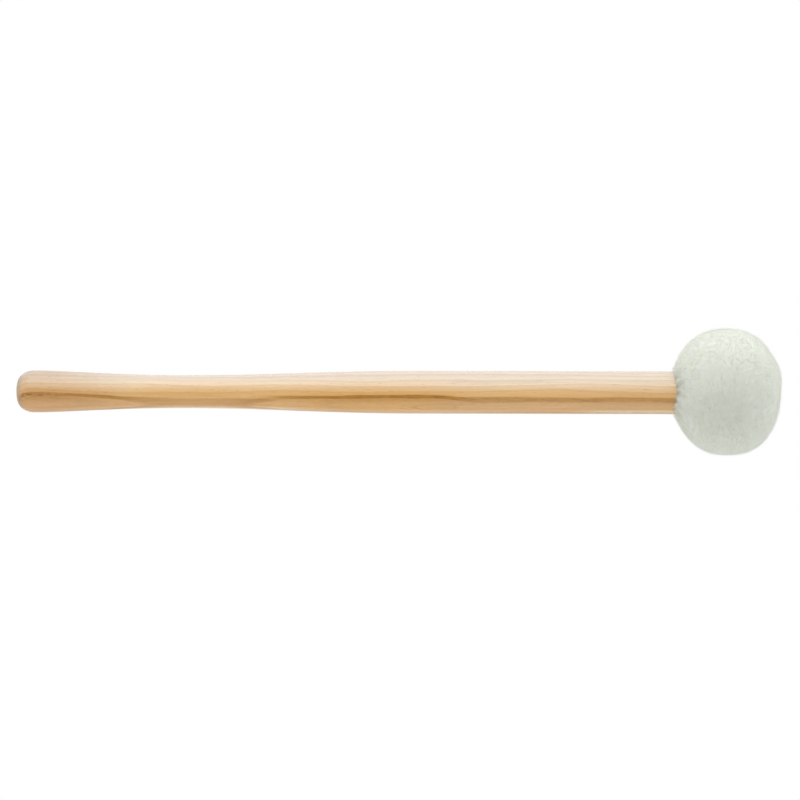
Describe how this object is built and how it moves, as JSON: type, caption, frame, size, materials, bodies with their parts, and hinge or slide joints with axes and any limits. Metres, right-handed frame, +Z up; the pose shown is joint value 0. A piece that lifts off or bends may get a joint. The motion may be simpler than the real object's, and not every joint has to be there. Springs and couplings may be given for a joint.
{
  "type": "drum mallet",
  "caption": "Padded drum mallet: turned wooden handle with a waisted grip and rounded butt, and a fleece-covered felt ball head.",
  "frame": {"origin": "centre of the small flat on the handle's butt end, on the mallet's axis", "axes": "+X along the handle from butt to head; the mallet is turned round X, and +Z is up when it lies level"},
  "size_m": [0.35, 0.0576, 0.0576],
  "materials": {
    "handle": "satin lacquer over pale straight-grained hardwood",
    "fleece": "matte short-pile fleece, pale grey-green",
    "soft_felt": "matte soft wool felt",
    "hard_felt": "matte dense wool felt",
    "cord": "waxed twisted thread",
    "steel": "bright zinc plate"
  },
  "bodies": {
    "root": {"handle": "handle", "felt_core": "hard_felt", "felt_liner": "soft_felt", "fleece_cover": "fleece", "gather_cord": "cord", "end_washer": "steel", "end_screw": "steel"}
  },
  "joints": []
}
